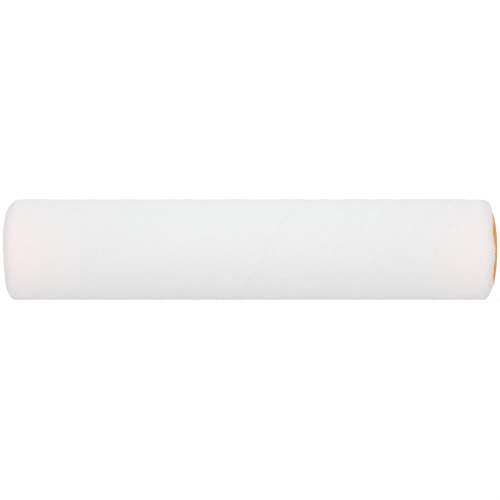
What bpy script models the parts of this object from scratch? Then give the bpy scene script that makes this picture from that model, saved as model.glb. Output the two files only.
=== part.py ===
"""Paint roller cover: a thermobonded sleeve.  Two polypropylene strips are wound
into a core tube, and a strip of short-nap pile fabric is wound and bonded over it.

Frame: X runs along the cover's axis, Z is up, and the cover lies on z = 0 centred
on x = 0 and y = 0.  The core stands slightly proud of the fabric at the +X end.
Units are metres.
"""

import math

import bpy

# ------------------------------------------------------------------ driving sizes
COVER_LENGTH = 0.2413     # cut length of the core and of the fabric, 9 1/2 in
COVER_DIAMETER = 0.0508   # over the brushed nap, 2 in
BORE_DIAMETER = 0.0381    # slides over the cage of a roller frame, 1 1/2 in

PLY = 0.00055             # thickness of one wound polypropylene strip
FILM = 0.00030            # thickness of one layer of melted bond
BACKING = 0.00090         # thickness of the ground cloth that carries the pile
LAYER_GAP = 0.00005       # clearance between two bonded layers

PITCH = 0.0830            # every strip advances this far along X in one turn
SEAM_GAP = 0.00030        # clearance along a strip's butted edge, measured along X
FABRIC_SEAM_X = 0.02885   # where the fabric's seam crosses the top of the cover
INNER_SEAM_X = 0.06000    # the same for the inner ply
OUTER_SEAM_X = INNER_SEAM_X - PITCH / 2   # the outer ply covers the inner seam

CORE_SHIFT = 0.00045      # the core is this far towards +X of the middle,
FABRIC_SHIFT = -0.00045   # and the fabric this far towards -X

NAP_ROLL = 0.0062         # length over which the nap rounds off at each end
ROLL_STEPS = 6            # facets along that rounding
FLAT_WIDTH = 0.0100       # the pile is pressed flat this wide where the cover lies

SIDES = 48                # facets round every layer
TURNS = 5                 # turns that a strip is wound before its ends are trimmed

# ------------------------------------------------------------------ derived sizes
R_NAP = COVER_DIAMETER / 2
R_BORE = BORE_DIAMETER / 2
AXIS_Z = math.sqrt(R_NAP ** 2 - (FLAT_WIDTH / 2) ** 2)

R_INNER = R_BORE
R_PLY_FILM = R_INNER + PLY + LAYER_GAP
R_OUTER = R_PLY_FILM + FILM + LAYER_GAP
R_FABRIC_FILM = R_OUTER + PLY + LAYER_GAP
R_BACKING = R_FABRIC_FILM + FILM + LAYER_GAP
R_PILE = R_BACKING + BACKING + LAYER_GAP

# ------------------------------------------------------------------ scene set-up
for old in list(bpy.data.objects):
    bpy.data.objects.remove(old, do_unlink=True)


def collection(name):
    made = bpy.data.collections.new(name)
    bpy.context.scene.collection.children.link(made)
    return made


PARTS = collection("paint_roller_cover")
CUTTERS = collection("cutters")

AXIS = bpy.data.objects.new("cover_axis", None)
AXIS.empty_display_size = 0.03
AXIS.location = (0.0, 0.0, AXIS_Z)
PARTS.objects.link(AXIS)


def material(name, colour, roughness, sheen=0.0, subsurface=0.0):
    mat = bpy.data.materials.new(name)
    mat.use_nodes = True
    shader = mat.node_tree.nodes["Principled BSDF"]
    shader.inputs["Base Color"].default_value = (*colour, 1.0)
    shader.inputs["Roughness"].default_value = roughness
    shader.inputs["Metallic"].default_value = 0.0
    shader.inputs["Sheen Weight"].default_value = sheen
    shader.inputs["Subsurface Weight"].default_value = subsurface
    mat.diffuse_color = (*colour, 1.0)
    return mat


def profile_object(name, points, edges, where):
    """An outline in the XZ half-plane above the cover's axis, ready to be turned."""
    mesh = bpy.data.meshes.new(name)
    mesh.from_pydata(points, edges, [])
    made = bpy.data.objects.new(name, mesh)
    where.objects.link(made)
    made.parent = AXIS
    return made


def turn(made, angle=2 * math.pi, advance=0.0, iterations=1):
    """Sweeps the outline about the X axis; advance makes it a helix."""
    screw = made.modifiers.new("turn", "SCREW")
    screw.axis = "X"
    screw.angle = angle
    screw.screw_offset = advance
    screw.iterations = iterations
    screw.steps = screw.render_steps = SIDES
    screw.use_merge_vertices = advance == 0.0
    screw.merge_threshold = 0.00001
    screw.use_smooth_shade = True
    return screw


def smooth(made):
    """Fixes the finished shape as a mesh, shaded smooth up to its real corners."""
    shape = made.evaluated_get(bpy.context.evaluated_depsgraph_get())
    mesh = bpy.data.meshes.new_from_object(shape)
    mesh.name = made.name
    mesh.shade_smooth()
    mesh.set_sharp_from_angle(angle=math.radians(30.0))
    made.modifiers.clear()
    made.data = mesh


def as_cutter(made):
    made.hide_render = True
    made.display_type = "WIRE"
    return made


def cut(made, cutter, operation="INTERSECT"):
    boolean = made.modifiers.new(operation.lower(), "BOOLEAN")
    boolean.operation = operation
    boolean.object = cutter
    boolean.solver = "EXACT"


def trim_block(name, centre_x, length):
    """A block that keeps only what lies between the two cut ends of a strip."""
    bpy.ops.mesh.primitive_cube_add(size=1.0, location=(0.0, 0.0, 0.0))
    block = bpy.context.object
    block.name = name
    for vertex in block.data.vertices:
        vertex.co.x = centre_x + vertex.co.x * length
        vertex.co.y *= 3.0 * COVER_DIAMETER
        vertex.co.z *= 3.0 * COVER_DIAMETER
    for owner in list(block.users_collection):
        owner.objects.unlink(block)
    CUTTERS.objects.link(block)
    block.parent = AXIS
    return as_cutter(block)


def strip(name, radius, thickness, seam_x, cutter, mat):
    """One flat strip wound into a tube: a line along X is swept down a left-hand
    helix, thickened outwards, and trimmed square at the tube's ends."""
    start = seam_x + math.ceil((COVER_LENGTH / 2 + 0.01 - seam_x) / PITCH) * PITCH
    line = [(start + PITCH - SEAM_GAP, 0.0, radius), (start, 0.0, radius)]
    made = profile_object(name, line, [(0, 1)], PARTS)
    turn(made, advance=-PITCH, iterations=TURNS)
    solid = made.modifiers.new("thickness", "SOLIDIFY")
    solid.thickness = thickness
    solid.offset = 1.0
    solid.use_even_offset = True
    solid.use_rim = True
    cut(made, cutter)
    made.data.materials.append(mat)
    return made


def tube(name, radius, thickness, centre_x, mat):
    """A seamless layer: a closed rectangle turned once about the axis."""
    x0, x1 = centre_x - COVER_LENGTH / 2, centre_x + COVER_LENGTH / 2
    points = [
        (x0, 0.0, radius), (x1, 0.0, radius),
        (x1, 0.0, radius + thickness), (x0, 0.0, radius + thickness),
    ]
    made = profile_object(name, points, [(0, 1), (1, 2), (2, 3), (3, 0)], PARTS)
    turn(made)
    made.data.materials.append(mat)
    return made


def nap_envelope():
    """The outside of the nap as a closed turned form: a long cylinder whose two
    ends round off towards the core, pressed flat underneath."""
    half = COVER_LENGTH / 2
    deep = R_NAP - R_FABRIC_FILM
    outline = [(FABRIC_SHIFT - half, 0.0, 0.0)]
    for step in range(ROLL_STEPS + 1):
        a = 0.5 * math.pi * step / ROLL_STEPS
        outline.append((FABRIC_SHIFT - half + NAP_ROLL * (1.0 - math.cos(a)), 0.0,
                        R_NAP - deep * (1.0 - math.sin(a))))
    for x, _, z in reversed(outline[1:]):
        outline.append((2 * FABRIC_SHIFT - x, 0.0, z))
    outline.append((FABRIC_SHIFT + half, 0.0, 0.0))
    made = profile_object("nap_envelope", outline,
                          [(i, i + 1) for i in range(len(outline) - 1)], CUTTERS)
    turn(made)
    bpy.ops.mesh.primitive_cube_add(size=1.0, location=(0.0, 0.0, 0.0))
    floor = bpy.context.object
    floor.name = "floor_block"
    for vertex in floor.data.vertices:
        vertex.co.x *= 2.0 * COVER_LENGTH
        vertex.co.y *= 2.0 * COVER_DIAMETER
        vertex.co.z = -AXIS_Z + (vertex.co.z - 0.5) * 0.02
    for owner in list(floor.users_collection):
        owner.objects.unlink(floor)
    CUTTERS.objects.link(floor)
    floor.parent = AXIS
    as_cutter(floor)
    cut(made, floor, "DIFFERENCE")
    return as_cutter(made)


# ------------------------------------------------------------------ materials
GOLD = (0.680, 0.275, 0.022)
inner_plastic = material("inner_ply_plastic", GOLD, 0.38, subsurface=0.1)
outer_plastic = material("outer_ply_plastic", GOLD, 0.34, subsurface=0.1)
ply_bond = material("ply_bond", (0.600, 0.250, 0.030), 0.30, subsurface=0.2)
fabric_bond = material("fabric_bond", (0.720, 0.600, 0.380), 0.32, subsurface=0.2)
ground_cloth = material("ground_cloth", (0.800, 0.770, 0.750), 0.95, sheen=0.2)
pile_fibre = material("pile_fibre", (0.840, 0.835, 0.835), 0.90, sheen=0.5)

# ------------------------------------------------------------------ the cover
core_trim = trim_block("core_trim", CORE_SHIFT, COVER_LENGTH)
fabric_trim = trim_block("fabric_trim", FABRIC_SHIFT, COVER_LENGTH)

COVER = [
    strip("core_inner_ply", R_INNER, PLY, INNER_SEAM_X, core_trim, inner_plastic),
    tube("ply_bond_film", R_PLY_FILM, FILM, CORE_SHIFT, ply_bond),
    strip("core_outer_ply", R_OUTER, PLY, OUTER_SEAM_X, core_trim, outer_plastic),
    tube("fabric_bond_film", R_FABRIC_FILM, FILM, CORE_SHIFT, fabric_bond),
    strip("nap_backing", R_BACKING, BACKING, FABRIC_SEAM_X, fabric_trim,
          ground_cloth),
    strip("nap_pile", R_PILE, R_NAP - R_PILE + 0.0010, FABRIC_SEAM_X,
          nap_envelope(), pile_fibre),
]
for layer in COVER:
    smooth(layer)
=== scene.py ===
import math

import bpy
import numpy as np
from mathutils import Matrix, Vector


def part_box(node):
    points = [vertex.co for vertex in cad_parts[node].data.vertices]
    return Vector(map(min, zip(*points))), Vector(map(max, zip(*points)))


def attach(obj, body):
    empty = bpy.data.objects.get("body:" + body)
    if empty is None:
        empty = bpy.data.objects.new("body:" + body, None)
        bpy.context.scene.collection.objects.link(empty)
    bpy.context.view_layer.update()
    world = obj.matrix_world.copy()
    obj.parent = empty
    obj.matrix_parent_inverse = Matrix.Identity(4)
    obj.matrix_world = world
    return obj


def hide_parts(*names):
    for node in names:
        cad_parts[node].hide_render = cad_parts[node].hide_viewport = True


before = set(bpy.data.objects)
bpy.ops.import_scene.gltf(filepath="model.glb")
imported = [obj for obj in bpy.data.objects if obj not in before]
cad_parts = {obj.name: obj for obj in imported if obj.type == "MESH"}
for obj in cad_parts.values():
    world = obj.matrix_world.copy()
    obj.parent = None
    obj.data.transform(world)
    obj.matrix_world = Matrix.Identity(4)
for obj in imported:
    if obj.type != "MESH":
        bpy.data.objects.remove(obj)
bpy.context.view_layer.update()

MM = 0.001
TAU = 2 * math.pi

# ---------------------------------------------------------------- the frame's sizes
low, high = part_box("fabric_bond_film")
AXIS = (low.z + high.z) / 2          # height of the cover's own axis
CORE_X = (low.x, high.x)             # the core's two cut ends
low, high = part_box("nap_backing")
CLOTH_X = (low.x, high.x)            # the fabric's two cut ends
low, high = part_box("nap_pile")
R_NAP = (high.y - low.y) / 2


def layer(node):
    """The inner and outer radius of a wound layer: the two commonest among its corners."""
    co = np.array([v.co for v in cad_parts[node].data.vertices])
    r = np.round(np.hypot(co[:, 1], co[:, 2] - AXIS), 5)
    value, count = np.unique(r, return_counts=True)
    return sorted(float(x) for x in value[np.argsort(-count)[:2]])


R_IN0, R_IN1 = layer("core_inner_ply")
R_PF0, R_PF1 = layer("ply_bond_film")
R_OUT0, R_OUT1 = layer("core_outer_ply")
R_FF0, R_FF1 = layer("fabric_bond_film")
R_BK0, R_BK1 = layer("nap_backing")

# The winding, as the strips are cut in the CAD model.
PITCH = 83.0 * MM
CLOTH_SEAM = 28.85 * MM              # the fabric's seam on the top meridian
INNER_SEAM = 60.0 * MM
OUTER_SEAM = INNER_SEAM - PITCH / 2
LEAN = math.atan(PITCH / (TAU * R_NAP))   # the strips' slope round the cover


# ---------------------------------------------------------------- repeatable noise
def rnd(i, j, seed):
    """A repeatable number from 0 to 1 for each pair of whole numbers."""
    i = np.asarray(i, np.int64).astype(np.uint64) & np.uint64(0xFFFFFFFF)
    j = np.asarray(j, np.int64).astype(np.uint64) & np.uint64(0xFFFFFFFF)
    mask = np.uint64(0xFFFFFFFF)
    h = (i * np.uint64(374761393) + j * np.uint64(668265263)
         + np.uint64(seed) * np.uint64(2246822519)) & mask
    h = ((h ^ (h >> np.uint64(13))) * np.uint64(1274126177)) & mask
    h = ((h ^ (h >> np.uint64(15))) * np.uint64(2246822519)) & mask
    h = h ^ (h >> np.uint64(16))
    return h.astype(np.float64) / 4294967296.0


def drift(u, v, scale, seed):
    """Smooth noise from -1 to 1 whose lumps are about scale apart."""
    u, v = np.asarray(u) / scale, np.asarray(v) / scale
    i, j = np.floor(u), np.floor(v)
    a, b = u - i, v - j
    a, b = a * a * (3 - 2 * a), b * b * (3 - 2 * b)
    n = (rnd(i, j, seed) * (1 - a) * (1 - b) + rnd(i + 1, j, seed) * a * (1 - b)
         + rnd(i, j + 1, seed) * (1 - a) * b + rnd(i + 1, j + 1, seed) * a * b)
    return 2 * n - 1


# ---------------------------------------------------------------- mesh making
def mesh_object(name, co, faces, uv=None, smooth=True):
    """An object from points, triangles or quads as one array, and a place on the map
    for each face corner."""
    faces = np.asarray(faces, np.int32)
    n, k = faces.shape
    me = bpy.data.meshes.new(name)
    me.vertices.add(len(co))
    me.vertices.foreach_set("co", np.asarray(co, np.float32).ravel())
    me.loops.add(n * k)
    me.loops.foreach_set("vertex_index", faces.ravel())
    me.polygons.add(n)
    me.polygons.foreach_set("loop_start", np.arange(0, n * k, k, dtype=np.int32))
    me.polygons.foreach_set("use_smooth", np.full(n, smooth))
    if uv is not None:
        layer_ = me.uv_layers.new(name="OFBake")
        layer_.uv.foreach_set("vector", np.asarray(uv, np.float32).ravel())
    me.update(calc_edges=True)
    me.validate()
    ob = bpy.data.objects.new(name, me)
    bpy.context.scene.collection.objects.link(ob)
    return ob


def around(x, t, r):
    """Points at x along the axis, t round it from the top towards the front, r out."""
    return np.stack([x + 0 * t, -r * np.sin(t), AXIS + r * np.cos(t)], -1)


# ---------------------------------------------------------------- the nap's own form
STEPS = 400
ROLL = 8.4 * MM                      # the nap's ends are shaped over this length
R_RIM = R_BK0 + 0.15 * MM            # and begin down on the ground cloth
NAP_X = (CLOTH_X[0] - 0.10 * MM, CLOTH_X[1])


def end_profile(roll, p, q):
    """How one end of the nap is sheared round: distance in from the rim and radius,
    with the way that the pile stands, at even steps along the skin."""
    a = np.linspace(0, math.pi / 2, 6000)
    x = roll * (1 - np.cos(a) ** (2 / p))
    r = R_RIM + (R_NAP - R_RIM) * np.sin(a) ** (2 / q)
    x, r = np.append(x, ROLL), np.append(r, R_NAP)
    arc = np.concatenate([[0], np.cumsum(np.hypot(np.diff(x), np.diff(r)))])
    even = np.linspace(0, arc[-1], STEPS + 1)
    x, r = np.interp(even, arc, x), np.interp(even, arc, r)
    dx, dr = np.gradient(x), np.gradient(r)
    size = np.hypot(dx, dr)
    return np.stack([x, r, -dr / size, dx / size]), arc[-1]


# The shears never take both ends off alike: each end has its own form above, in front and
# behind, and below.
LOW_FORM = [end_profile(4.4 * MM, 1.33, 1.33), end_profile(6.8 * MM, 1.75, 1.75), end_profile(4.5 * MM, 1.85, 1.85)]
HIGH_FORM = [end_profile(7.9 * MM, 2.7, 5.2), end_profile(7.6 * MM, 1.85, 2.1), end_profile(4.0 * MM, 1.9, 1.9)]
ARC = sum(arc for _, arc in LOW_FORM + HIGH_FORM) / 6
XI = (NAP_X[0] + ROLL - ARC, NAP_X[1] - ROLL + ARC)   # the skin's own length


def end_form(s, t, forms):
    """An end's profile at a distance s along the skin, t round the cover."""
    k = np.clip(s / ARC, 0, 1) * STEPS
    up = np.cos(t)
    weights = (np.maximum(up, 0) ** 2, 1 - up ** 2, np.minimum(up, 0) ** 2)
    grid = np.arange(STEPS + 1)
    return [sum(np.interp(k, grid, form[row]) * w for (form, _), w in zip(forms, weights)) for row in range(4)]


# Neither rim is cut quite square: angle from the top towards the front, and how far in it lies.
LOW_SWAY = np.array([(0, 0.0), (70, 0.0), (88, 0.25), (100, 0.40), (122, 0.45), (140, 0.22), (155, 0.0),
                     (200, 0.10), (250, 0.25), (300, 0.05), (360, 0.0)])
HIGH_SWAY = np.array([(0, 0.10), (30, 0.05), (38, 0.12), (45, 0.36), (52, 0.48), (59, 0.88), (66, 1.16),
                      (78, 0.72), (90, 0.38), (100, 0.34), (110, 0.62), (120, 0.68), (127, 0.60),
                      (137, 0.10), (148, 0.05), (165, 0.22), (180, 0.30), (230, 0.45), (290, 0.20), (360, 0.10)])


def rim_sway(t, table):
    """How far a rim falls back at t, eased from one place to the next."""
    deg = np.degrees(t) % 360
    k = np.clip(np.searchsorted(table[:, 0], deg, side="right") - 1, 0, len(table) - 2)
    w = (deg - table[k, 0]) / (table[k + 1, 0] - table[k, 0])
    w = w * w * (3 - 2 * w)
    return MM * (table[k, 1] * (1 - w) + table[k + 1, 1] * w)


def skin(xi, t, rise=0.0):
    """A point of the nap's skin, and the way that its pile stands there."""
    xi, t = np.broadcast_arrays(np.asarray(xi, float), np.asarray(t, float))
    low_end = xi < NAP_X[0] + ROLL
    high_end = xi > NAP_X[1] - ROLL
    ax, ar, anx, anr = end_form(xi - XI[0], t, LOW_FORM)
    bx, br, bnx, bnr = end_form(XI[1] - xi, t, HIGH_FORM)
    ax = ax + rim_sway(t, LOW_SWAY) * np.clip(1 - ax / (4.0 * MM), 0, 1)
    bx = bx + rim_sway(t, HIGH_SWAY) * np.clip(1 - bx / (3.5 * MM), 0, 1)
    x = np.where(low_end, NAP_X[0] + ax, np.where(high_end, NAP_X[1] - bx, xi))
    r = np.where(low_end, ar, np.where(high_end, br, R_NAP))
    nx = np.where(low_end, anx, np.where(high_end, -bnx, 0.0))
    nr = np.where(low_end, anr, np.where(high_end, bnr, 1.0))
    size = np.hypot(nx, nr)
    nx, nr = nx / size, nr / size
    p = around(x, t, r)
    n = np.stack([nx, -nr * np.sin(t), nr * np.cos(t)], -1)
    return p + n * np.asarray(rise)[..., None], n


def press(p, seed=5):
    """The pile is flattened where the cover lies on the floor."""
    z = p[..., 2]
    floor = 0.03 * MM
    soft = 0.18 * MM
    p[..., 2] = np.where(z < floor + soft, floor + soft * np.exp((z - floor - soft) / soft), z)
    return p


def strip_place(T, f):
    """Along and across the strip, as it lay before it was wound."""
    b = f * PITCH
    return R_NAP * T / math.cos(LEAN) - b * math.sin(LEAN), b * math.cos(LEAN)


ROWS = 66
ROW = PITCH * math.cos(LEAN) / ROWS
TUFT = 1.22 * MM


def tufts_at(S, W):
    """Height of the sheared tufts' tops, which crowd like small domes."""
    best = np.full(np.shape(S), -1.0)
    r0 = np.floor(W / ROW)
    for dr in (-1, 0, 1):
        row = r0 + dr
        shift = 0.5 * (row % 2)
        c0 = np.floor(S / TUFT - shift)
        for dc in (-1, 0, 1):
            col = c0 + dc
            cs = (col + 0.5 + shift + 0.62 * (rnd(col, row, 1) - 0.5)) * TUFT
            cw = (row + 0.5 + 0.55 * (rnd(col, row, 2) - 0.5)) * ROW
            top = 0.72 + 0.28 * rnd(col, row, 3)
            d2 = ((S - cs) / TUFT) ** 2 + ((W - cw) / ROW) ** 2
            h = top - 0.95 * d2
            best = np.where((row >= 0) & (row < ROWS) & (h > best), h, best)
    return np.maximum(best, -0.6)


RELIEF = 0.15 * MM


def rise_of(T, f, S, W):
    """How far the nap's skin stands off its even form."""
    edge = np.abs(np.minimum(W, PITCH * math.cos(LEAN) - W))
    h = RELIEF * (tufts_at(S, W) - 0.80)
    h += (-0.070 * MM - h) * np.exp(-(edge / (0.60 * MM)) ** 2)   # the strip's two edges meet level
    h += 0.030 * MM * drift(S, W, 0.55 * MM, 11) + 0.020 * MM * drift(S, W, 0.31 * MM, 12)
    h += 0.010 * MM * drift(S, W, 6.5 * MM, 13) + 0.015 * MM * drift(S, W, 19 * MM, 14)
    h -= 0.110 * MM * np.exp(-(edge / (1.00 * MM)) ** 2) * (0.75 + 0.25 * drift(S, 0 * S, 6 * MM, 15))
    h -= 0.050 * MM * np.exp(-(edge / (2.6 * MM)) ** 2)
    return h


def nap_turn(k, nt, nf):
    """One turn of the wound fabric strip as a closed body: from one seam to the next
    along the cover, and once round it from underneath."""
    i, j = np.meshgrid(np.arange(nt + 1), np.arange(nf + 1), indexing="ij")
    t = -math.pi + TAU * i / nt
    f = j / nf
    T = t - TAU * k
    xi = CLOTH_SEAM + PITCH * (k + f) - PITCH * t / TAU
    held = np.clip(xi, XI[0], XI[1])
    lost_low, lost_high = xi <= XI[0], xi >= XI[1]
    # a clamped point keeps its own place across the strip, so the pattern isn't smeared
    f_held = f + (held - xi) / PITCH
    S, W = strip_place(T, f_held)
    rise = rise_of(T, f_held, S, W)
    near = np.minimum(held - XI[0], XI[1] - held)
    # towards the rim the pile thins out into scallops
    rise *= np.clip(near / (1.2 * MM), 0.15, 1.0)
    p, n = skin(held, t, rise)
    scallop = 0.24 * MM * np.abs(np.sin(0.5 * t * 80)) + 0.08 * MM * drift(t * R_NAP, 0 * t, 0.9 * MM, 21)
    fade = np.clip(1 - near / (1.6 * MM), 0, 1) ** 2
    p[..., 0] += np.sign(held) * fade * scallop
    p = press(p)
    width = nf + 1
    ids = i * width + j
    rim_low = ids[:, 0][:, None]
    rim_high = ids[:, nf][:, None]
    ids = np.where(lost_low, rim_low, np.where(lost_high, rim_high, ids))
    a, b, c, d = ids[:-1, :-1], ids[1:, :-1], ids[1:, 1:], ids[:-1, 1:]
    tris = np.concatenate([np.stack([a, b, c], -1).reshape(-1, 3),
                           np.stack([a, c, d], -1).reshape(-1, 3)])
    # the underside and the walls: one line along each edge of the strip
    least = NAP_X[0] + rim_sway(t[:, 0], LOW_SWAY) + 0.6 * MM
    most = NAP_X[1] - rim_sway(t[:, 0], HIGH_SWAY) - 0.6 * MM
    x_lo = np.clip(skin(held[:, 0], t[:, 0])[0][:, 0], least, most)
    x_hi = np.clip(skin(held[:, nf], t[:, nf])[0][:, 0], least, most)
    gone = np.abs(held[:, nf] - held[:, 0]) < 1e-9
    r_in = R_BK1 + 0.05 * MM
    base = len(ids.ravel())
    under = np.concatenate([around(x_lo, t[:, 0], r_in), around(x_hi, t[:, 0], r_in)])
    m = nt + 1
    low_id = base + np.arange(m)
    high_id = np.where(gone, low_id, base + m + np.arange(m))
    top_lo, top_hi = ids[:, 0], ids[:, nf]
    sides = []

    def quad(p0, p1, p2, p3):
        sides.append(np.stack([p0, p1, p2], -1))
        sides.append(np.stack([p0, p2, p3], -1))

    live = ~(gone[:-1] & gone[1:])                                    # where there is any strip
    quad(low_id[:-1], high_id[:-1], high_id[1:], low_id[1:])          # underside
    quad(top_lo[:-1][live], low_id[:-1][live], low_id[1:][live], top_lo[1:][live])       # wall at f = 0
    quad(top_hi[1:][live], high_id[1:][live], high_id[:-1][live], top_hi[:-1][live])     # wall at f = 1
    # the two walls where this turn meets the one before and the one after
    for col, turn_ in ((0, 1), (nt, -1)):
        if gone[col]:
            continue
        ring = ids[col]
        step = np.stack([np.full(nf, low_id[col]), ring[:-1], ring[1:]], -1)
        last = np.array([[low_id[col], ring[-1], high_id[col]]])
        wall = np.concatenate([step, last])
        sides.append(wall[:, ::-1] if turn_ < 0 else wall)
    tris = np.concatenate([tris] + sides)
    keep = (tris[:, 0] != tris[:, 1]) & (tris[:, 1] != tris[:, 2]) & (tris[:, 0] != tris[:, 2])
    tris = tris[keep]
    co = np.concatenate([p.reshape(-1, 3), under])
    # a map laid out as the strip is, with the hidden sides in a margin of their own
    u = np.concatenate([0.02 + 0.90 * f.ravel(), np.full(m, 0.955), np.full(m, 0.985)])
    v = np.concatenate([0.01 + 0.98 * (i.ravel() / nt),
                        0.01 + 0.98 * np.arange(m) / nt, 0.01 + 0.98 * np.arange(m) / nt])
    used, tris = np.unique(tris, return_inverse=True)
    tris = tris.reshape(-1, 3)
    uv = np.stack([u[used][tris], v[used][tris]], -1)
    return co[used], tris, uv.reshape(-1, 2)


def fibres(k, per_tuft, seed):
    """The ends of the pile's fibres over one turn: fine closed spikes that lean
    every way out of each tuft."""
    full = TAU * R_NAP / math.cos(LEAN)
    lo, hi = -math.pi - TAU * k, math.pi - TAU * k
    cols = np.arange(int(lo * R_NAP / math.cos(LEAN) / TUFT) - 40,
                     int(hi * R_NAP / math.cos(LEAN) / TUFT) + 4)
    col, row = (x.ravel().astype(float) for x in np.meshgrid(cols, np.arange(ROWS), indexing="ij"))
    shift = 0.5 * (row % 2)
    cs = (col + 0.5 + shift + 0.62 * (rnd(col, row, 1) - 0.5)) * TUFT
    cw = (row + 0.5 + 0.55 * (rnd(col, row, 2) - 0.5)) * ROW
    out_p, out_n, out_len, out_t, out_f, out_r, out_skin = [], [], [], [], [], [], []
    for q in range(per_tuft):
        s0 = seed + 17 * q
        ang = TAU * rnd(col, row, s0 + 1)
        rad = 0.52 * np.sqrt(rnd(col, row, s0 + 2))
        S = cs + rad * TUFT * np.cos(ang)
        W = cw + rad * ROW * np.sin(ang)
        b = W / math.cos(LEAN)
        T = (S + b * math.sin(LEAN)) * math.cos(LEAN) / R_NAP
        f = b / PITCH
        xi = CLOTH_SEAM + PITCH * f - PITCH * T / TAU
        ok = ((T >= lo) & (T < hi) & (xi > XI[0] + 0.25 * MM) & (xi < XI[1] - 0.25 * MM)
              & (f > 0.002) & (f < 0.998))
        S, W, T, f, xi = S[ok], W[ok], T[ok], f[ok], xi[ok]
        t = T + TAU * k
        rise = rise_of(T, f, S, W)
        p, n = skin(xi, t, rise)
        near = np.minimum(xi - XI[0], XI[1] - xi)
        r1, r2, r3, r4 = (rnd(col[ok], row[ok], s0 + z) for z in (3, 4, 5, 6))
        # tangents: along the cover and round it
        round_ = np.stack([0 * t, -np.cos(t), -np.sin(t)], -1)
        along = np.cross(round_, n)
        bend = 0.75 * np.sqrt(r1)
        way = TAU * r2
        d = n + round_ * (bend * np.cos(way) + 0.10)[:, None] + along * (bend * np.sin(way))[:, None]
        d /= np.linalg.norm(d, axis=1)[:, None]
        length = (0.24 + 0.24 * r3) * MM
        length = np.where(near < 1.5 * MM, length * 0.6, length)
        out_p.append(p - n * (0.16 * MM))
        out_n.append(d)
        out_len.append(length + 0.16 * MM)
        out_t.append(t)
        out_f.append(f)
        out_r.append((0.050 + 0.030 * r4) * MM)
        out_skin.append(n)
    p, d, length, t, f, r, lie = (np.concatenate(x) for x in
                                  (out_p, out_n, out_len, out_t, out_f, out_r, out_skin))
    side = np.cross(d, np.array([0.31, 0.52, 0.79]))
    side /= np.linalg.norm(side, axis=1)[:, None]
    up = np.cross(d, side)
    pts, glow = [], []
    for q in range(3):
        w = TAU * q / 3
        out = side * math.cos(w) + up * math.sin(w)
        pts.append(p + out * r[:, None])
        glow.append(lie + 0.90 * out)
    pts.append(p + d * length[:, None])
    glow.append(lie)
    glow = np.stack(glow, 1).reshape(-1, 3)
    glow /= np.linalg.norm(glow, axis=1)[:, None]
    co = np.stack(pts, 1)
    co[..., 2] = np.maximum(co[..., 2], 0.02 * MM)
    n = len(p)
    first = 4 * np.arange(n)[:, None]
    tris = np.concatenate([first + np.array(x) for x in
                           ([0, 1, 3], [1, 2, 3], [2, 0, 3], [2, 1, 0])])
    place = np.stack([0.02 + 0.90 * f, 0.01 + 0.98 * (t + math.pi) / TAU], -1)
    off = np.array([[0, 0], [0.0022, 0], [0, 0.0022], [0.0022, 0.0022]])
    uvv = (place[:, None, :] + off[None]).reshape(-1, 2)
    return co.reshape(-1, 3), tris, uvv[tris].reshape(-1, 2), glow


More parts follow.
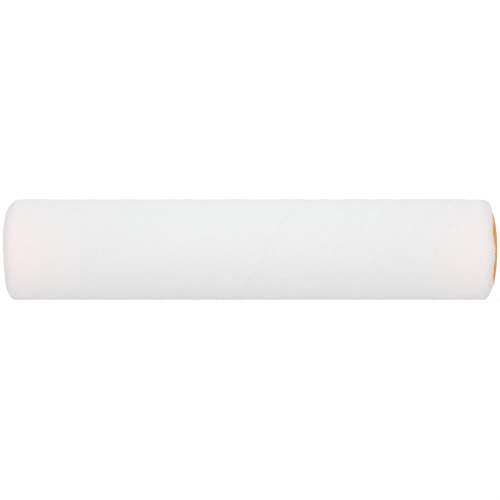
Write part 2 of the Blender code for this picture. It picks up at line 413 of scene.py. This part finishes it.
# ---------------------------------------------------------------- the wound plastic
def wound_strip(name, r0, r1, seam, ends, gap, nt, rows, ripple, cut, seed, skew=0.0):
    """A strip wound into a tube, closed, with its cut ends a little uneven."""
    first = math.floor((seam - ends[1]) / PITCH * nt)
    last = math.ceil((seam + PITCH - ends[0]) / PITCH * nt)
    i, j = np.meshgrid(np.arange(first, last + 1), np.arange(len(rows)), indexing="ij")
    t = TAU * i / nt
    f = np.asarray(rows)[j]
    x = seam + gap / 2 + (PITCH - gap) * f - PITCH * t / TAU
    saw = cut * (0.6 * drift(t * r1, 0 * t, 0.9 * MM, seed) + 0.4 * drift(t * r1, 0 * t, 0.35 * MM, seed + 1))
    # the knife draws the cut a little to one side
    bow = -skew * (1 - np.abs(np.sin(t)))
    lo, hi = ends[0] + saw, ends[1] + saw + bow
    lost_low, lost_high = x <= lo, x >= hi
    held = np.clip(x, lo, hi)
    run = r1 * t / math.cos(LEAN)
    wave = ripple * (0.5 * drift(f * PITCH, 0.02 * run, 2.1 * MM, seed + 2)
                     + 0.5 * drift(f * PITCH, 0.05 * run, 0.8 * MM, seed + 3))
    # the strip's slit edges are eased
    ease = np.minimum(f, 1 - f) * PITCH
    thin = 0.07 * MM * np.clip(1 - ease / (0.12 * MM), 0, 1)
    outer = around(held, t, r1 + wave * 0.5 - thin)
    inner = around(held, t, r0 + wave - 0 * thin + thin)
    nj = len(rows)
    rows_n = i.shape[0]
    ids = np.arange(rows_n * nj).reshape(rows_n, nj)
    ids = np.where(lost_low, ids[:, :1], np.where(lost_high, ids[:, -1:], ids))
    alive = (held[:, -1] - held[:, 0]) > 1e-9
    off = rows_n * nj
    a, b, c, d = ids[:-1, :-1], ids[1:, :-1], ids[1:, 1:], ids[:-1, 1:]
    q_out = np.stack([a, b, c, d], -1).reshape(-1, 4)
    q_in = q_out[:, ::-1] + off
    w_lo = np.stack([ids[:-1, 0], ids[:-1, 0] + off, ids[1:, 0] + off, ids[1:, 0]], -1)
    w_hi = np.stack([ids[1:, -1], ids[1:, -1] + off, ids[:-1, -1] + off, ids[:-1, -1]], -1)
    live = alive[:-1] | alive[1:]
    quads = np.concatenate([q_out, q_in, w_lo[live], w_hi[live]])
    tris = np.concatenate([quads[:, [0, 1, 2]], quads[:, [0, 2, 3]]])
    keep = (tris[:, 0] != tris[:, 1]) & (tris[:, 1] != tris[:, 2]) & (tris[:, 0] != tris[:, 2])
    tris = tris[keep]
    co = np.concatenate([outer.reshape(-1, 3), inner.reshape(-1, 3)])
    turns = (last - first) / nt
    uo = (i - first) / nt / turns
    u = np.concatenate([uo.ravel(), uo.ravel()])
    v = np.concatenate([0.02 + 0.44 * f.ravel(), 0.54 + 0.44 * f.ravel()])
    used, tris = np.unique(tris, return_inverse=True)
    tris = tris.reshape(-1, 3)
    uv = np.stack([0.01 + 0.98 * u[used][tris], v[used][tris]], -1)
    ob = mesh_object(name, co[used], tris, uv.reshape(-1, 2))
    ob.data.set_sharp_from_angle(angle=math.radians(40))
    return ob


def film_tube(name, r0, r1, ends, nt, ragged, lump, seed):
    """A layer of melted bond: a seamless tube with a run-out, beaded edge."""
    t = TAU * np.arange(nt) / nt
    s = t * r1

    def wrap(scale, sd):
        n = max(8, int(round(TAU * r1 / scale)))
        u = t / TAU * n
        i = np.floor(u)
        a = u - i
        a = a * a * (3 - 2 * a)
        return 2 * (rnd(i % n, 0 * i, sd) * (1 - a) + rnd((i + 1) % n, 0 * i, sd) * a) - 1

    rings = []
    lo_edge = ends[0] + ragged * (0.6 + 0.3 * wrap(2.3 * MM, seed) + 0.25 * wrap(0.8 * MM, seed + 1))
    hi_edge = ends[1] - ragged * (0.6 + 0.3 * wrap(2.1 * MM, seed + 2) + 0.25 * wrap(0.7 * MM, seed + 3))
    hi_edge = hi_edge - 0.5 * MM * (1 - np.abs(np.sin(t)))
    mid = (r0 + r1) / 2
    half = (r1 - r0) / 2
    rnd_in = [0.0, 0.10, 0.30, 0.60, 1.0]
    prof = []
    for e, sgn in ((lo_edge, 1), (hi_edge, -1)):
        part = []
        for w in rnd_in:
            bulge = math.sqrt(max(0.0, 1 - (1 - w) ** 2))
            part.append((e + sgn * w * 0.30 * MM, bulge))
        prof.append(part)
    left, right = prof
    for x, bl in left:
        rings.append(around(x, t, mid + half * bl + lump * bl * wrap(1.6 * MM, seed + 4)))
    for x in np.linspace(ends[0] + 3 * MM, ends[1] - 3 * MM, 9):
        rings.append(around(x + 0 * t, t, r1 + 0 * t))
    for x, bl in right[::-1]:
        rings.append(around(x, t, mid + half * bl + lump * bl * wrap(1.6 * MM, seed + 5)))
    for x, bl in right[1:]:
        rings.append(around(x, t, mid - half * bl))
    for x, bl in left[::-1][:-1]:
        rings.append(around(x, t, mid - half * bl))
    m = len(rings)
    co = np.concatenate(rings)
    k, i = np.meshgrid(np.arange(m), np.arange(nt), indexing="ij")
    a = k * nt + i
    b = k * nt + (i + 1) % nt
    c = ((k + 1) % m) * nt + (i + 1) % nt
    d = ((k + 1) % m) * nt + i
    quads = np.stack([a, b, c, d], -1).reshape(-1, 4)
    u0, u1 = i / nt, (i + 1) / nt
    v0, v1 = k / m, (k + 1) / m
    uv = np.stack([np.stack([u0, v0], -1), np.stack([u1, v0], -1), np.stack([u1, v1], -1),
                   np.stack([u0, v1], -1)], 2).reshape(-1, 2)
    ob = mesh_object(name, co, quads, 0.01 + 0.98 * uv)
    return ob


# ---------------------------------------------------------------- materials
def new_material(name):
    mat = bpy.data.materials.new(name)
    mat.use_nodes = True
    nt = mat.node_tree
    return mat, nt, nt.nodes["Principled BSDF"]


def node(nt, kind, **values):
    n = nt.nodes.new(kind)
    for key, value in values.items():
        if key in n.inputs:
            n.inputs[key].default_value = value
        else:
            setattr(n, key, value)
    return n


def noise(nt, coords, scale, detail=3.0, rough=0.5, kind="FBM"):
    n = nt.nodes.new("ShaderNodeTexNoise")
    n.inputs["Scale"].default_value = scale
    n.inputs["Detail"].default_value = detail
    n.inputs["Roughness"].default_value = rough
    nt.links.new(coords, n.inputs["Vector"])
    return n.outputs["Fac"]


def ramp(nt, fac, stops):
    n = nt.nodes.new("ShaderNodeValToRGB")
    el = n.color_ramp.elements
    while len(el) < len(stops):
        el.new(0.5)
    for e, (pos, colour) in zip(el, stops):
        e.position = pos
        e.color = (*colour, 1.0)
    nt.links.new(fac, n.inputs["Fac"])
    return n.outputs["Color"]


def mix(nt, fac, a, b, mode="MIX"):
    n = nt.nodes.new("ShaderNodeMix")
    n.data_type = "RGBA"
    n.blend_type = mode
    for value, socket in ((fac, n.inputs[0]), (a, n.inputs[6]), (b, n.inputs[7])):
        if hasattr(value, "is_linked"):
            nt.links.new(value, socket)
        elif isinstance(value, (int, float)):
            socket.default_value = value
        else:
            socket.default_value = (*value, 1.0)
    return n.outputs[2]


def bump(nt, height, distance, strength, normal=None):
    n = nt.nodes.new("ShaderNodeBump")
    n.inputs["Distance"].default_value = distance
    n.inputs["Strength"].default_value = strength
    nt.links.new(height, n.inputs["Height"])
    if normal is not None:
        nt.links.new(normal, n.inputs["Normal"])
    return n.outputs["Normal"]


def to_range(nt, fac, low, high, from_low=0.3, from_high=0.7):
    n = nt.nodes.new("ShaderNodeMapRange")
    n.inputs["From Min"].default_value = from_low
    n.inputs["From Max"].default_value = from_high
    n.inputs["To Min"].default_value = low
    n.inputs["To Max"].default_value = high
    nt.links.new(fac, n.inputs["Value"])
    return n.outputs["Result"]


def pile_material(name, white, deep, through=0.15):
    """White synthetic pile: matt, soft-lit, with faint unevenness of the yarn, and painted shade at both ends and
    along the seam.
    """
    mat, nt, bsdf = new_material(name)
    xyz = nt.nodes.new("ShaderNodeTexCoord").outputs["Object"]
    fine = noise(nt, xyz, 2600.0, 2.0, 0.6)
    tuft = noise(nt, xyz, 700.0, 2.0, 0.5)
    broad = noise(nt, xyz, 38.0, 3.0, 0.55)
    colour = ramp(nt, tuft, [(0.25, deep), (0.55, white), (1.0, white)])
    colour = mix(nt, to_range(nt, broad, 0.0, 0.35), colour, tuple(0.980 * c for c in white))
    colour = mix(nt, to_range(nt, fine, 0.0, 0.25), colour, tuple(min(1.0, 1.03 * c) for c in white))
    # painted shade: towards both ends, where the sheared pile is thinner and rounds off, the colour is darkened to
    # stand in for the shade there
    place = nt.nodes.new("ShaderNodeSeparateXYZ")
    nt.links.new(xyz, place.inputs["Vector"])
    end_painted_shade = tuple(0.94 * c for c in deep)
    colour = mix(nt, to_range(nt, place.outputs["X"], 0.0, 1.0, 0.1135, 0.1205), colour, end_painted_shade)
    colour = mix(nt, to_range(nt, place.outputs["X"], 0.45, 0.0, -0.1212, -0.1150), colour, end_painted_shade)
    # painted shade: where the fabric's two edges meet, the pile parts a little, and the colour is darkened in
    # patches along the seam for the shade that gathers between
    back = node(nt, "ShaderNodeMath", operation="MULTIPLY")
    nt.links.new(place.outputs["Y"], back.inputs[0])
    back.inputs[1].default_value = -1.0
    rise = node(nt, "ShaderNodeMath", operation="SUBTRACT")
    nt.links.new(place.outputs["Z"], rise.inputs[0])
    rise.inputs[1].default_value = AXIS
    turn = node(nt, "ShaderNodeMath", operation="ARCTAN2")
    nt.links.new(back.outputs[0], turn.inputs[0])
    nt.links.new(rise.outputs[0], turn.inputs[1])
    along = node(nt, "ShaderNodeMath", operation="MULTIPLY_ADD")
    nt.links.new(place.outputs["X"], along.inputs[0])
    along.inputs[1].default_value = 1 / PITCH
    along.inputs[2].default_value = -CLOTH_SEAM / PITCH
    lead = node(nt, "ShaderNodeMath", operation="MULTIPLY_ADD")
    nt.links.new(turn.outputs[0], lead.inputs[0])
    lead.inputs[1].default_value = 1 / TAU
    nt.links.new(along.outputs[0], lead.inputs[2])
    gap = node(nt, "ShaderNodeMath", operation="PINGPONG")
    nt.links.new(lead.outputs[0], gap.inputs[0])
    gap.inputs[1].default_value = 0.5
    patchy = to_range(nt, noise(nt, xyz, 110.0, 2.0, 0.5), 0.02, 0.14)
    shade = node(nt, "ShaderNodeMath", operation="MULTIPLY")
    nt.links.new(to_range(nt, gap.outputs[0], 1.0, 0.0, 0.0, 2.4 * MM / PITCH), shade.inputs[0])
    nt.links.new(patchy, shade.inputs[1])
    colour = mix(nt, shade.outputs[0], colour, tuple(0.88 * c for c in white))
    nt.links.new(colour, bsdf.inputs["Base Color"])
    nt.links.new(to_range(nt, fine, 0.80, 0.98), bsdf.inputs["Roughness"])
    nt.links.new(bump(nt, fine, 0.00006, 0.5, bump(nt, tuft, 0.00012, 0.35)), bsdf.inputs["Normal"])
    bsdf.inputs["Sheen Weight"].default_value = 0.14
    bsdf.inputs["Sheen Roughness"].default_value = 0.6
    bsdf.inputs["Specular IOR Level"].default_value = 0.15
    bsdf.inputs["Subsurface Weight"].default_value = through
    bsdf.inputs["Subsurface Radius"].default_value = (0.00045, 0.00042, 0.00042)
    bsdf.inputs["Subsurface Scale"].default_value = 1.0
    return mat


def plastic_material(name, bright, dark, rough_low, rough_high, streak_turn):
    """Extruded golden polypropylene: satin, with long draw lines and a little haze."""
    mat, nt, bsdf = new_material(name)
    xyz = nt.nodes.new("ShaderNodeTexCoord").outputs["Object"]
    stretch = node(nt, "ShaderNodeMapping")
    stretch.inputs["Scale"].default_value = (900.0, 90.0, 90.0)
    nt.links.new(xyz, stretch.inputs["Vector"])
    lines = noise(nt, stretch.outputs["Vector"], 1.0, 4.0, 0.6)
    haze = noise(nt, xyz, 95.0, 4.0, 0.6)
    grit = noise(nt, xyz, 3200.0, 2.0, 0.5)
    colour = ramp(nt, haze, [(0.25, dark), (0.75, bright)])
    colour = mix(nt, to_range(nt, lines, 0.0, 0.35), colour, tuple(0.86 * c for c in bright))
    nt.links.new(colour, bsdf.inputs["Base Color"])
    nt.links.new(to_range(nt, haze, rough_low, rough_high), bsdf.inputs["Roughness"])
    nt.links.new(bump(nt, grit, 0.00002, 0.35, bump(nt, lines, 0.00005, 0.45)), bsdf.inputs["Normal"])
    bsdf.inputs["IOR"].default_value = 1.49
    bsdf.inputs["Specular IOR Level"].default_value = 0.30
    bsdf.inputs["Subsurface Weight"].default_value = 0.35
    bsdf.inputs["Subsurface Radius"].default_value = (0.0022, 0.0012, 0.0004)
    bsdf.inputs["Subsurface Scale"].default_value = 1.0
    return mat


def cloth_material(name, white):
    """Close-woven ground cloth: a fine cell pattern for its yarns, with a soft mottle."""
    mat, nt, bsdf = new_material(name)
    xyz = nt.nodes.new("ShaderNodeTexCoord").outputs["Object"]
    weave = nt.nodes.new("ShaderNodeTexVoronoi")
    weave.inputs["Scale"].default_value = 1500.0
    nt.links.new(xyz, weave.inputs["Vector"])
    yarn = weave.outputs["Distance"]
    soft = noise(nt, xyz, 900.0, 3.0, 0.6)
    colour = ramp(nt, yarn, [(0.0, white), (0.8, tuple(0.72 * c for c in white))])
    colour = mix(nt, to_range(nt, soft, 0.0, 0.3), colour, tuple(0.85 * c for c in white))
    nt.links.new(colour, bsdf.inputs["Base Color"])
    nt.links.new(to_range(nt, soft, 0.85, 1.0), bsdf.inputs["Roughness"])
    nt.links.new(bump(nt, yarn, 0.0002, 0.7), bsdf.inputs["Normal"])
    bsdf.inputs["Specular IOR Level"].default_value = 0.2
    return mat


PILE = pile_material("nap_pile_white", (0.776, 0.773, 0.774), (0.758, 0.755, 0.756))
FIBRE = pile_material("nap_fibre_white", (0.800, 0.797, 0.798), (0.786, 0.783, 0.784), 0.75)
CLOTH = cloth_material("ground_cloth_white", (0.80, 0.775, 0.74))
INNER = plastic_material("inner_ply_gold", (0.720, 0.300, 0.030), (0.600, 0.225, 0.018), 0.50, 0.64, 0)
OUTER = plastic_material("outer_ply_gold", (0.740, 0.315, 0.032), (0.640, 0.250, 0.020), 0.46, 0.60, 0)
PLY_BOND = plastic_material("ply_bond_gold", (0.560, 0.220, 0.020), (0.440, 0.160, 0.012), 0.36, 0.50, 0)
CLOTH_BOND = plastic_material("cloth_bond_gold", (0.760, 0.350, 0.045), (0.640, 0.260, 0.028), 0.34, 0.50, 0)


def dress(ob, mat, slot, *nodes):
    ob.data.materials.append(mat)
    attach(ob, "root")
    if nodes:
        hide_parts(*nodes)
    return ob


# ---------------------------------------------------------------- build the pieces
NT, NF = ((448, 214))
SPIKES = 5
for number, k in enumerate(range(-3, 2), 1):
    co, tris, uv = nap_turn(k, NT, NF)
    turn = dress(mesh_object(f"nap_turn_{number}", co, tris, uv), PILE, "nap", "nap_pile")
    turn.data.set_sharp_from_angle(angle=math.radians(62))   # so the hidden walls don't shade the skin
    co, tris, uv, glow = fibres(k, SPIKES, 100)
    fuzz = dress(mesh_object(f"nap_fibres_{number}", co, tris, uv), FIBRE, "nap")
    fuzz.data.normals_split_custom_set_from_vertices(glow)   # soft, as the nap that they stand in

EDGE_ROWS = [0.0, 0.0012, 0.003] + list(np.linspace(0.0, 1.0, 21)[1:-1]) + [0.997, 0.9988, 1.0]
dress(wound_strip("inner_ply", R_IN0, R_IN1, INNER_SEAM, CORE_X, 0.30 * MM, 256, EDGE_ROWS,
                  0.020 * MM, 0.05 * MM, 31, 0.5 * MM), INNER, "core_plastic", "core_inner_ply")
dress(wound_strip("outer_ply", R_OUT0, R_OUT1, OUTER_SEAM, CORE_X, 0.30 * MM, 256, EDGE_ROWS,
                  0.010 * MM, 0.05 * MM, 41, 0.5 * MM), OUTER, "core_plastic", "core_outer_ply")
dress(film_tube("ply_bond", R_IN1 - 0.01 * MM, R_OUT0 + 0.01 * MM, CORE_X, 288, 0.10 * MM, 0.0, 51),
      PLY_BOND, "ply_bond", "ply_bond_film")
dress(film_tube("cloth_bond", R_OUT1 - 0.01 * MM, R_BK0 + 0.01 * MM, CORE_X, 288, 0.55 * MM,
                0.05 * MM, 61), CLOTH_BOND, "fabric_bond", "fabric_bond_film")
dress(wound_strip("ground_cloth", R_BK0, R_BK1, CLOTH_SEAM, (CLOTH_X[0] + 0.45 * MM, CLOTH_X[1] - 1.45 * MM),
                  0.10 * MM, 256, EDGE_ROWS, 0.02 * MM, 0.10 * MM, 71), CLOTH, "ground_cloth", "nap_backing")

# ---------------------------------------------------------------- floor, light, camera
bpy.ops.mesh.primitive_plane_add(size=8.0, location=(0, 0, 0))
floor = bpy.context.object
floor.name = "studio_floor"
mat, nt, bsdf = new_material("studio_white")
xyz = nt.nodes.new("ShaderNodeTexCoord").outputs["Object"]
nt.links.new(ramp(nt, noise(nt, xyz, 3.0, 2.0), [(0.3, (0.340, 0.340, 0.340)), (0.7, (0.350, 0.350, 0.350))]),
             bsdf.inputs["Base Color"])
bsdf.inputs["Roughness"].default_value = 0.9
bsdf.inputs["Specular IOR Level"].default_value = 0.0
# a lit white table: it glows through from below, so the shadow on it stays faint
bsdf.inputs["Emission Color"].default_value = (1.0, 1.0, 1.0, 1.0)
bsdf.inputs["Emission Strength"].default_value = 0.696
floor.data.materials.append(mat)

world = bpy.data.worlds.new("studio")
bpy.context.scene.world = world
world.use_nodes = True
wt = world.node_tree
sky = wt.nodes["Background"]                 # what lights the cover: dimmer from both sides
sky.inputs["Color"].default_value = (0.985, 0.997, 1.0, 1.0)
way = wt.nodes.new("ShaderNodeSeparateXYZ")
wt.links.new(wt.nodes.new("ShaderNodeTexCoord").outputs["Generated"], way.inputs["Vector"])
square = wt.nodes.new("ShaderNodeMath")
square.operation = "MULTIPLY"
wt.links.new(way.outputs["X"], square.inputs[0])
wt.links.new(way.outputs["X"], square.inputs[1])
dim = wt.nodes.new("ShaderNodeMapRange")
dim.inputs["To Min"].default_value = 1.35
dim.inputs["To Max"].default_value = 0.06
wt.links.new(square.outputs[0], dim.inputs["Value"])
high = wt.nodes.new("ShaderNodeMath")        # and a touch brighter overhead
high.operation = "MULTIPLY"
wt.links.new(way.outputs["Z"], high.inputs[0])
wt.links.new(way.outputs["Z"], high.inputs[1])
total = wt.nodes.new("ShaderNodeMath")
total.operation = "MULTIPLY_ADD"
total.inputs[1].default_value = 0.02
wt.links.new(high.outputs[0], total.inputs[0])
wt.links.new(dim.outputs["Result"], total.inputs[2])
wt.links.new(total.outputs[0], sky.inputs["Strength"])
seen = wt.nodes.new("ShaderNodeBackground")  # the plain white backdrop
seen.inputs["Color"].default_value = (1.0, 1.0, 1.0, 1.0)
seen.inputs["Strength"].default_value = 1.05
choose = wt.nodes.new("ShaderNodeMixShader")
wt.links.new(wt.nodes.new("ShaderNodeLightPath").outputs["Is Camera Ray"], choose.inputs["Fac"])
wt.links.new(sky.outputs[0], choose.inputs[1])
wt.links.new(seen.outputs[0], choose.inputs[2])
wt.links.new(choose.outputs[0], wt.nodes["World Output"].inputs["Surface"])


def lamp(name, place, aim, cone, size, energy, colour=(1, 1, 1)):
    """A round lamp whose light fades out towards the edge of its cone."""
    data = bpy.data.lights.new(name, "SPOT")
    data.energy = energy
    data.color = colour
    data.shadow_soft_size = size
    data.spot_size = math.radians(cone)
    data.spot_blend = 1.0
    ob = bpy.data.objects.new(name, data)
    bpy.context.scene.collection.objects.link(ob)
    ob.location = place
    ob.rotation_euler = (Vector(aim) - Vector(place)).to_track_quat("-Z", "Y").to_euler()
    return ob


lamp("key_lamp", (0.0, -0.66, 0.58), (0.0, 0.0, AXIS), 30.0, 0.12, 3.75)
# a little warm light on both ends, as from something beside the table
lamp("warm_lamp_low_end", (-0.16, -0.75, 0.06), (-0.124, 0.0, AXIS - 0.004), 5.6, 0.03, 4.2, (1.0, 0.12, 0.10))
lamp("warm_lamp_high_end", (0.16, -0.75, 0.06), (0.124, 0.0, AXIS - 0.004), 5.6, 0.03, 4.2, (1.0, 0.12, 0.10))

camera_data = bpy.data.cameras.new("camera")
camera = bpy.data.objects.new("camera", camera_data)
bpy.context.scene.collection.objects.link(camera)
DISTANCE = 0.72
camera.location = (-0.00009, -DISTANCE, AXIS)
camera.rotation_euler = (math.pi / 2, 0.0, 0.0)
camera_data.sensor_width = 36.0
camera_data.lens = DISTANCE / (0.5044 * MM) * 36.0 / 500.0
camera_data.clip_start, camera_data.clip_end = 0.01, 50.0
bpy.context.scene.camera = camera
bpy.context.scene.view_settings.view_transform = "Standard"
